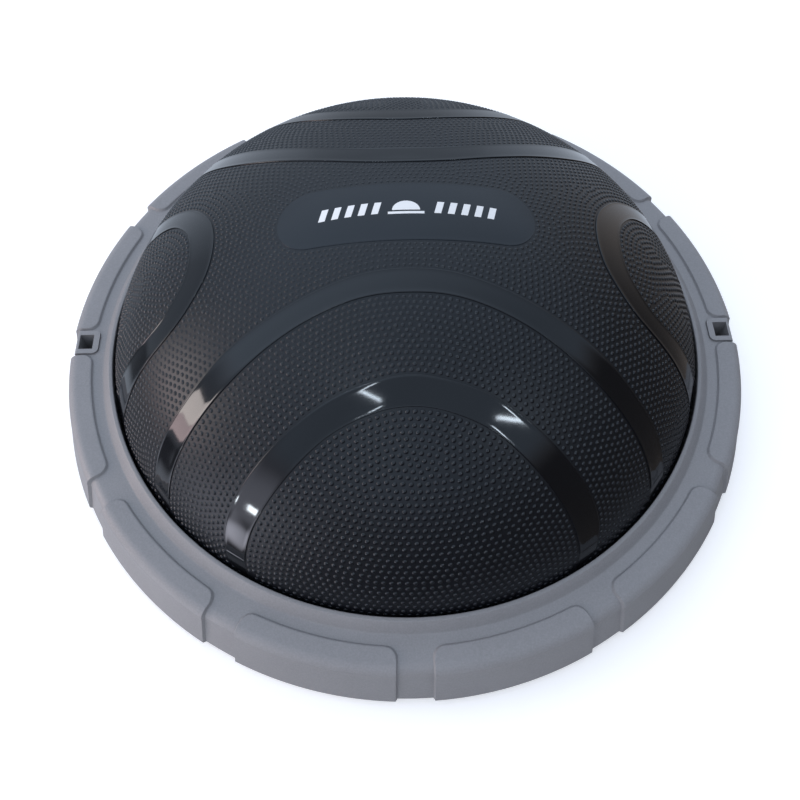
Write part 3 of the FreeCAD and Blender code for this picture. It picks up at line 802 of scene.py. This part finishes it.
def anchor_cutter(side):
    """A block the size of the ring's hole for a band anchor, with round inner corners."""
    outline = [(BITE_OUTER_R, -BITE_HALF), (BITE_OUTER_R, BITE_HALF)]
    for start, sign in ((math.pi / 2, 1), (math.pi, -1)):
        for turn in np.linspace(start, start + math.pi / 2, 9):
            x = BITE_INNER_R + BITE_CORNER + BITE_CORNER * math.cos(turn)
            y = sign * (BITE_HALF - BITE_CORNER) + BITE_CORNER * math.sin(turn)
            outline.append((x, y))
    outline = np.array(outline) * [side, 1]
    count = len(outline)
    points = [np.column_stack([outline, np.full(count, z)]) for z in BITE_LEVELS]
    walls = grid(2, count, wrap_columns=True)
    caps = np.array([np.arange(count)[::-1], np.arange(count) + count])
    return outward(make_object("cutter", np.vstack(points), walls, caps))


WEB = {"half_thick": 1.5, "inner_r": 257.2, "outer_low": 292.0, "outer_high": 284.0, "low": 8.3, "high": 48.0}
POSTS = 24
POST_CIRCLE_R = 274.0
POST_RADII = (4.5, 1.7)
POST_LEVELS = (8.0, 48.4)
# Degrees: the two hand grips, and how near to one of them no screw post stands.
GRIPS = (90.0, 270.0)
GRIP_CLEARANCE = 10.0


def webs_and_posts():
    """A web in the middle of each pad, and a tube for each clamp screw."""
    made = [wedge(PAD_TURN + number * 2 * math.pi / PADS, **WEB) for number in range(PADS)]
    for number in range(POSTS):
        degrees = (number + 0.5) * 360 / POSTS
        if min(abs(degrees - grip) for grip in GRIPS) < GRIP_CLEARANCE:
            continue
        centre = polar(POST_CIRCLE_R, math.radians(degrees))
        made.append(tube(centre, POST_RADII, *POST_LEVELS))
    return made


def ring():
    """The ring: a turned section with pads pushed out of it, holes for the anchors, and ribs."""
    section = divided(rounded_section(RING_SECTION))
    turns = ring_columns()
    r, z = section[:, :1], section[:, 1:]
    turn = turns[None, :]
    outer_side = (np.arange(len(section)) < shell_rows(section))[:, None]
    share = pad_share(r, turn) * outer_side
    out = np.clip((r - PAD_INNER_R) / (PAD_FULL_R - PAD_INNER_R), 0, 1)
    up = np.clip((z - WALL_LOW_Z) / (WALL_TOP_Z - WALL_LOW_Z), 0, 1)
    wide = r + PAD_RELIEF * share * out
    tall = z + PAD_RELIEF * share * up
    points = polar(wide, turn, tall).reshape(-1, 3)
    made = outward(make_object("rim_ring_body", points, grid(len(section), len(turns), True, True)))
    for side in (-1, 1):
        cutter = anchor_cutter(side)
        cut = made.modifiers.new("anchor_hole", "BOOLEAN")
        cut.operation = "DIFFERENCE"
        cut.solver = "EXACT"
        cut.object = cutter
        with bpy.context.temp_override(object=made, active_object=made):
            bpy.ops.object.modifier_apply(modifier=cut.name)
        bpy.data.objects.remove(cutter)
    whole = joined("rim_ring_detailed", [made, *webs_and_posts()])
    whole.data.set_sharp_from_angle(angle=math.radians(32))
    return whole


ring_piece = ring()
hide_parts("rim_ring")

# -------- tread under the platform

SOLE_Z = 2.0
TREAD_FIRST_R = 48.0
TREAD_LAST_R = 202.0
TREAD_PITCH = 5.5
TREAD_HALF = 1.0
TREAD_RISE = 0.5
TREAD_COLUMNS = 144
# A rib's section in units of its half width and its height, with its root in the sole.
TREAD_SECTION = ((-1, 0.1), (-1, -0.1), (-0.6, -0.75), (0, -1), (0.6, -0.75), (1, -0.1), (1, 0.1))


def tread():
    """Low round ribs on the platform's sole, where the feet stand when it is turned over."""
    turn = full_turn(TREAD_COLUMNS)
    section = np.array(TREAD_SECTION)
    quads = grid(len(section), TREAD_COLUMNS, True, True)
    points, faces = [], []
    for r in np.arange(TREAD_FIRST_R, TREAD_LAST_R, TREAD_PITCH):
        across = r + TREAD_HALF * section[:, :1]
        tall = SOLE_Z + TREAD_RISE * section[:, 1:]
        faces.append(quads + len(points) * len(section) * TREAD_COLUMNS)
        points.append(polar(across, turn, tall).reshape(-1, 3))
    return outward(make_object("platform_tread", np.vstack(points), np.vstack(faces)))


tread_piece = tread()

# -------- materials


def feed(tree, value, socket):
    """Link a socket to another one, or give it a plain value."""
    if isinstance(value, bpy.types.NodeSocket):
        tree.links.new(value, socket)
    else:
        socket.default_value = value


def new_look(name):
    """A material and its node tree."""
    made = bpy.data.materials.new(name)
    made.use_nodes = True
    return made, made.node_tree


def ranged(tree, source, span, low, high, curve="LINEAR"):
    """A socket's value mapped from a span to low and high, and held at its ends."""
    node = tree.nodes.new("ShaderNodeMapRange")
    node.interpolation_type = curve
    for key, value in (("From Min", span[0]), ("From Max", span[1]), ("To Min", low), ("To Max", high)):
        node.inputs[key].default_value = value
    tree.links.new(source, node.inputs["Value"])
    return node.outputs["Result"]


def mixed(tree, share, first, second, kind="RGBA"):
    """A blend from first to second by a share."""
    node = tree.nodes.new("ShaderNodeMix")
    node.data_type = kind
    tree.links.new(share, node.inputs["Factor"])
    feed(tree, first, node.inputs["A"])
    feed(tree, second, node.inputs["B"])
    return node.outputs["Result"]


PATCH_SIZE = 60.0
SCUFF_SIZE = 7.2
RIPPLE_SIZE = 22.0
WEAR_SPAN = (0.56, 0.74)


def surface(
    name, colour, rough, *, grain, depth, shade, wear, ripple=0.0,
    specular=0.5, metallic=0.0, light_wear=1.25, tint=(1.0, 1.0, 1.0), speckle=0.0,
):
    """A moulded or metal surface. The grain's size and depth and the ripple's depth are in mm."""
    made, tree = new_look(name)
    shader = tree.nodes["Principled BSDF"]
    shader.inputs["Specular IOR Level"].default_value = specular
    shader.inputs["Metallic"].default_value = metallic
    shader.inputs["Specular Tint"].default_value = (*tint, 1.0)
    place = tree.nodes.new("ShaderNodeTexCoord").outputs["Object"]

    def noise(size_mm, detail, roughness=0.5):
        node = tree.nodes.new("ShaderNodeTexNoise")
        node.inputs["Scale"].default_value = 1.0 / (size_mm * MM)
        node.inputs["Detail"].default_value = detail
        node.inputs["Roughness"].default_value = roughness
        tree.links.new(place, node.inputs["Vector"])
        return node.outputs["Fac"]

    broad = noise(PATCH_SIZE, 3.0)
    fine = noise(grain, 4.0, 0.6)
    darker = (*(c * (1 - shade) for c in colour), 1)
    lighter = (*(c * (1 + shade) for c in colour), 1)
    tone = mixed(tree, ranged(tree, broad, (0.3, 0.7), 0, 1), darker, lighter)
    scuff = noise(SCUFF_SIZE, 6.0, 0.7)
    worn = (*(min(c * light_wear + 0.004, 1.0) for c in colour), 1)
    tone = mixed(tree, ranged(tree, scuff, WEAR_SPAN, 0.0, wear * 8), tone, worn)
    if speckle:
        pale = (*(min(c * (1 + speckle * 4), 1.0) for c in colour), 1)
        specks = ranged(tree, noise(grain * 1.4, 2.0), (0.35, 0.75), 0, 0.6)
        tone = mixed(tree, specks, tone, pale)
    tree.links.new(tone, shader.inputs["Base Color"])
    roughness = ranged(tree, scuff, (0.25, 0.75), rough - wear, rough + wear)
    tree.links.new(roughness, shader.inputs["Roughness"])

    bump = tree.nodes.new("ShaderNodeBump")
    bump.inputs["Strength"].default_value = 1.0
    bump.inputs["Distance"].default_value = depth * MM
    tree.links.new(fine, bump.inputs["Height"])
    if ripple:
        second = tree.nodes.new("ShaderNodeBump")
        second.inputs["Strength"].default_value = 1.0
        second.inputs["Distance"].default_value = ripple * MM
        tree.links.new(noise(RIPPLE_SIZE, 1.0), second.inputs["Height"])
        tree.links.new(second.outputs["Normal"], bump.inputs["Normal"])
    tree.links.new(bump.outputs["Normal"], shader.inputs["Normal"])
    return made


GREY = (0.212, 0.213, 0.224)
DOME_BLACK = (0.0032, 0.0036, 0.0055)
BLUE_GLOSS = (0.82, 0.92, 1.0)

RING_GREY = surface(
    "ring_plastic", GREY, 0.5, grain=1.0, depth=0.16, shade=0.04, wear=0.03, speckle=0.06
)
ANCHOR_GREY = surface(
    "anchor_plastic", GREY, 0.46, grain=0.9, depth=0.1, shade=0.04, wear=0.04, speckle=0.06
)
DOME_FIELD = surface(
    "dome_field", DOME_BLACK, 0.4,
    grain=0.5, depth=0.03, shade=0.15, wear=0.04, specular=0.42, tint=BLUE_GLOSS,
)
DOME_STUDS = surface(
    "dome_studs", DOME_BLACK, 0.17,
    grain=0.5, depth=0.015, shade=0.15, wear=0.03, specular=0.5, tint=BLUE_GLOSS,
)
DOME_GLOSS = surface(
    "dome_gloss", (0.0032, 0.0034, 0.0045), 0.075,
    grain=0.9, depth=0.003, ripple=0.05, shade=0.12, wear=0.015, tint=BLUE_GLOSS,
)
DOME_LABEL = surface(
    "dome_label", (0.004, 0.006, 0.0095), 0.2,
    grain=0.9, depth=0.008, ripple=0.05, shade=0.1, wear=0.02, specular=0.38, tint=BLUE_GLOSS,
)
PRINT_WHITE = surface(
    "print_white", (0.78, 0.79, 0.8), 0.4,
    grain=0.4, depth=0.01, shade=0.03, wear=0.02, light_wear=0.9,
)
PLATFORM = surface(
    "platform_plastic", (0.03, 0.032, 0.036), 0.5,
    grain=0.8, depth=0.06, shade=0.1, wear=0.05, light_wear=1.9,
)
BLADDER = surface(
    "bladder_sheet", (0.015, 0.016, 0.018), 0.4,
    grain=1.2, depth=0.04, ripple=0.2, shade=0.12, wear=0.05,
)
VALVE = surface(
    "valve_moulding", (0.02, 0.02, 0.022), 0.55, grain=0.5, depth=0.04, shade=0.1, wear=0.05
)
PLUG = surface(
    "plug_plastic_look", (0.75, 0.76, 0.77), 0.25,
    grain=0.8, depth=0.008, shade=0.02, wear=0.03, light_wear=0.85,
)
ZINC = surface(
    "zinc_look", (0.6, 0.6, 0.62), 0.32,
    grain=0.35, depth=0.01, shade=0.1, wear=0.06, metallic=1.0,
)
FOOT = surface(
    "foot_rubber_look", (0.018, 0.018, 0.02), 0.7,
    grain=0.6, depth=0.05, shade=0.12, wear=0.06, light_wear=2.0,
)


def paint(made, material):
    """Give an object this material alone."""
    made.data.materials.clear()
    made.data.materials.append(material)


for piece, material in (
    (skin_piece, DOME_FIELD),
    *((piece, DOME_GLOSS) for piece in dome_bands),
    (label_panel, DOME_LABEL),
    (printed, PRINT_WHITE),
    *((piece, DOME_STUDS) for piece in stud_pieces),
):
    paint(piece, material)
    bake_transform(piece)

paint(ring_piece, RING_GREY)
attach(ring_piece, "platform")

paint(tread_piece, PLATFORM)
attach(tread_piece, "platform")

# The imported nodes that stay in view: each one's material and the width of its edges in millimetres.
NODE_LOOKS = {
    "band_anchor_right": (ANCHOR_GREY, 0.5),
    "band_anchor_left": (ANCHOR_GREY, 0.5),
    "base_platform": (PLATFORM, 0.0),
    "bladder_floor": (BLADDER, 0.0),
    "valve_seat": (VALVE, 0.4),
    "valve_plug": (PLUG, 0.4),
    "clamp_screws": (ZINC, 0.15),
    "anchor_screws": (ZINC, 0.12),
    **{f"foot_{number:02d}": (FOOT, 0.35) for number in range(1, 13)},
}
WELD_GAP = 0.02

for name, (material, edge) in NODE_LOOKS.items():
    node = nodes[name]
    for slot in node.material_slots:
        slot.material = material
    if edge:
        weld = node.modifiers.new("weld", "WELD")
        weld.merge_threshold = WELD_GAP * MM
        bevel = node.modifiers.new("edges", "BEVEL")
        bevel.width = edge * MM
        bevel.segments = 2
        bevel.limit_method = "ANGLE"
        bevel.angle_limit = math.radians(40)
        even = node.modifiers.new("even_shading", "WEIGHTED_NORMAL")
        even.keep_sharp = True

# -------- floor, lights and camera

FLOOR_HALF = 6000.0
BACKDROP_R = 5600.0
FLOOR_GLOW = 0.25
# The room's brightness by direction: (x, y, z) is the way that light comes from. Low down it falls
# from left to right and grows to the back, and above SKY_STEP it grows from the front to the back.
LEFT_SPAN = (-0.8, 0.2)
LOW_LEFT = (0.55, 0.11)
BACK_SPAN = (0.2, 0.85)
LOW_BACK = (0.11, 0.75)
# The back is dimmer in its middle, by the square of x, up to a height.
BACK_MIDDLE = (0.0, 0.12)
BACK_SHARES = (0.5, 1.12)
BACK_MIDDLE_TOP = (-0.12, 0.1)
# A dark band below the horizon, and a bright one under it that fades towards the front.
SKIRTING_TOP = (-0.2, -0.1)
SKIRTING_FOOT = (-0.5, -0.34)
SKIRTING_SHARE = 0.12
FOOT_SHARE = 1.35
FOOT_FRONT = (-0.35, -0.15)
FOOT_FRONT_SHARE = 0.1
SKY_STEP = (0.36, 0.56)
HIGH_LEAN = -0.5
HIGH_SPAN = (-0.35, 0.7)
HIGH_SKY = (0.68, 1.46)
SKY_COLOUR = (0.84, 0.94, 1.1, 1.0)
LOW_COLOUR = (1.0, 0.95, 1.06, 1.0)
LOW_COLOUR_SPAN = (-0.5, 0.2)
RIGHT_COLOUR = (0.83, 0.73, 0.68, 1.0)
RIGHT_SPAN = (0.45, 0.8)
# Soft lights in the room: the direction, the cosines where each begins and is full, and its strength.
GLOWS = (
    ((-0.736, -0.673, 0.075), (0.93, 1.0), 1.1),
    ((-0.885, -0.39, -0.275), (0.965, 1.0), 2.2),
    ((-0.742, -0.572, -0.35), (0.988, 0.999), 3.0),
    ((-0.12, -0.76, 0.64), (0.92, 1.0), 0.8),
)
LAMP_TARGET = (0.0, 0.0, 0.1)


def floor():
    """A pale floor that is seen from above only, so that the underside can be looked at."""
    half = FLOOR_HALF
    corners = np.array([(-half, -half, 0), (half, -half, 0), (half, half, 0), (-half, half, 0)])
    made = make_object("studio_floor", corners, np.array([[0, 1, 2, 3]]))
    look, tree = new_look("studio_floor")
    shader = tree.nodes["Principled BSDF"]
    shader.inputs["Base Color"].default_value = (0.95, 0.95, 0.95, 1)
    shader.inputs["Roughness"].default_value = 0.9
    shader.inputs["Specular IOR Level"].default_value = 0.1
    shader.inputs["Emission Color"].default_value = (1, 1, 1, 1)
    shader.inputs["Emission Strength"].default_value = FLOOR_GLOW
    choice = tree.nodes.new("ShaderNodeMixShader")
    tree.links.new(tree.nodes.new("ShaderNodeNewGeometry").outputs["Backfacing"], choice.inputs[0])
    tree.links.new(shader.outputs[0], choice.inputs[1])
    tree.links.new(tree.nodes.new("ShaderNodeBsdfTransparent").outputs[0], choice.inputs[2])
    tree.links.new(choice.outputs[0], tree.nodes["Material Output"].inputs["Surface"])
    paint(made, look)
    made.visible_glossy = False


def backdrop():
    """A plain white surround that only the camera sees."""
    rows, columns = 25, 48
    rise = np.linspace(-math.pi / 2 + 0.01, math.pi / 2 - 0.01, rows)[:, None]
    points = polar(BACKDROP_R * np.cos(rise), full_turn(columns), BACKDROP_R * np.sin(rise))
    made = make_object("studio_backdrop", points.reshape(-1, 3), grid(rows, columns, wrap_columns=True))
    look, tree = new_look("studio_backdrop")
    tree.nodes.remove(tree.nodes["Principled BSDF"])
    light = tree.nodes.new("ShaderNodeEmission")
    light.inputs["Color"].default_value = (1, 1, 1, 1)
    tree.links.new(light.outputs[0], tree.nodes["Material Output"].inputs["Surface"])
    paint(made, look)
    for kind in ("diffuse", "glossy", "transmission", "volume_scatter", "shadow"):
        setattr(made, f"visible_{kind}", False)


def studio_world():
    """Soft room light: bright above and at the back, and dimmest low down on the right."""
    world = bpy.data.worlds.new("studio")
    bpy.context.scene.world = world
    world.use_nodes = True
    tree = world.node_tree
    background = tree.nodes["Background"]
    split = tree.nodes.new("ShaderNodeSeparateXYZ")
    place = tree.nodes.new("ShaderNodeTexCoord").outputs["Generated"]
    tree.links.new(place, split.inputs[0])

    def eased(source, span, low, high):
        return ranged(tree, source, span, low, high, "SMOOTHSTEP")

    def combined(operation, first, second):
        node = tree.nodes.new("ShaderNodeMath")
        node.operation = operation
        feed(tree, first, node.inputs[0])
        feed(tree, second, node.inputs[1])
        return node.outputs["Value"]

    x, y, z = (split.outputs[axis] for axis in "XYZ")
    above = eased(z, SKY_STEP, 0, 1)
    foot_front = eased(y, FOOT_FRONT, FOOT_FRONT_SHARE, 1)
    foot = combined("MULTIPLY", eased(z, SKIRTING_FOOT, FOOT_SHARE, 0), foot_front)
    skirting = combined("MAXIMUM", eased(z, SKIRTING_TOP, SKIRTING_SHARE, 1), foot)
    left = combined("MULTIPLY", eased(x, LEFT_SPAN, *LOW_LEFT), skirting)
    back_sides = eased(combined("MULTIPLY", x, x), BACK_MIDDLE, *BACK_SHARES)
    back_share = combined("MAXIMUM", back_sides, eased(z, BACK_MIDDLE_TOP, 0, 1))
    back = combined("MULTIPLY", eased(y, BACK_SPAN, *LOW_BACK), back_share)
    low = combined("MAXIMUM", left, back)
    high = eased(combined("ADD", y, combined("MULTIPLY", x, HIGH_LEAN)), HIGH_SPAN, *HIGH_SKY)
    total = mixed(tree, above, low, high, "FLOAT")
    for direction, span, rise in GLOWS:
        toward = tree.nodes.new("ShaderNodeVectorMath")
        toward.operation = "DOT_PRODUCT"
        tree.links.new(place, toward.inputs[0])
        toward.inputs[1].default_value = direction
        total = combined("ADD", total, eased(toward.outputs["Value"], span, 0, rise))
    tree.links.new(total, background.inputs["Strength"])
    blue = combined("MAXIMUM", above, eased(y, LOW_COLOUR_SPAN, 0, 1))
    colour = mixed(tree, blue, LOW_COLOUR, SKY_COLOUR)
    low_right = combined("MULTIPLY", eased(x, RIGHT_SPAN, 0, 1), eased(z, SKY_STEP, 1, 0))
    colour = mixed(tree, low_right, colour, RIGHT_COLOUR)
    tree.links.new(colour, background.inputs["Color"])


def aimed(made, target):
    """Turn a lamp to face a place."""
    direction = Vector(target) - made.location
    made.rotation_euler = direction.to_track_quat("-Z", "Y").to_euler()


def lamp(name, place, target, size, radiance, colour=(1, 1, 1)):
    """A rectangular lamp that looks equally bright from anywhere in front of it."""
    data = bpy.data.lights.new(name, "AREA")
    data.shape = "RECTANGLE"
    data.size, data.size_y = size
    data.energy = radiance * math.pi * size[0] * size[1]
    data.color = colour
    made = bpy.data.objects.new(name, data)
    bpy.context.scene.collection.objects.link(made)
    made.location = place
    aimed(made, target)
    made.visible_camera = False
    return made


def tube_lamp(name, start, end, width, radiance, colour):
    """A long lamp between two points that faces the object."""
    start, end = Vector(start), Vector(end)
    size = ((end - start).length, width)
    made = lamp(name, (start + end) / 2, LAMP_TARGET, size, radiance, colour)
    x_axis = (end - start).normalized()
    z_axis = (made.location - Vector(LAMP_TARGET)).normalized()
    y_axis = z_axis.cross(x_axis).normalized()
    z_axis = x_axis.cross(y_axis)
    made.rotation_euler = Matrix((x_axis, y_axis, z_axis)).transposed().to_euler()
    return made


floor()
backdrop()
studio_world()
lamp("window_upper", (-1.95, -0.1, 0.5), LAMP_TARGET, (0.9, 0.38), 8.3, (1, 0.82, 0.73))
lamp("window_lower", (-1.95, -0.14, 0.14), LAMP_TARGET, (0.8, 0.33), 4.8, (1, 0.71, 0.68))
tube_lamp("tube_front_left", (-0.74, -0.66, 1.75), (-0.284, -0.928, 1.75), 0.03, 30, (0.94, 0.96, 1))
tube_lamp("tube_front_right", (0.93, -0.998, 1.46), (1.275, -0.926, 1.23), 0.035, 32, (0.94, 0.96, 1))
lamp("lamp_low_left", (-1.65, -1.47, 0.1), LAMP_TARGET, (0.13, 0.13), 30)
fill = lamp("fill_front_left", (-1.5, -1.9, 0.9), (0, 0, 0.0), (1.6, 1.2), 1.5)
fill.visible_glossy = False

CAMERA_LENS = 39.58
CAMERA_SENSOR = 36.0
CAMERA_PLACE = (-0.0148, -0.4281, 0.6918)
CAMERA_TILT = math.radians(29.59)
CAMERA_TURN = math.radians(-1.41)

camera_data = bpy.data.cameras.new("camera")
camera_data.lens = CAMERA_LENS
camera_data.sensor_width = CAMERA_SENSOR
camera = bpy.data.objects.new("camera", camera_data)
bpy.context.scene.collection.objects.link(camera)
camera.location = CAMERA_PLACE
camera.rotation_euler = (CAMERA_TILT, 0.0, CAMERA_TURN)
bpy.context.scene.camera = camera
bpy.context.scene.view_settings.view_transform = "Standard"
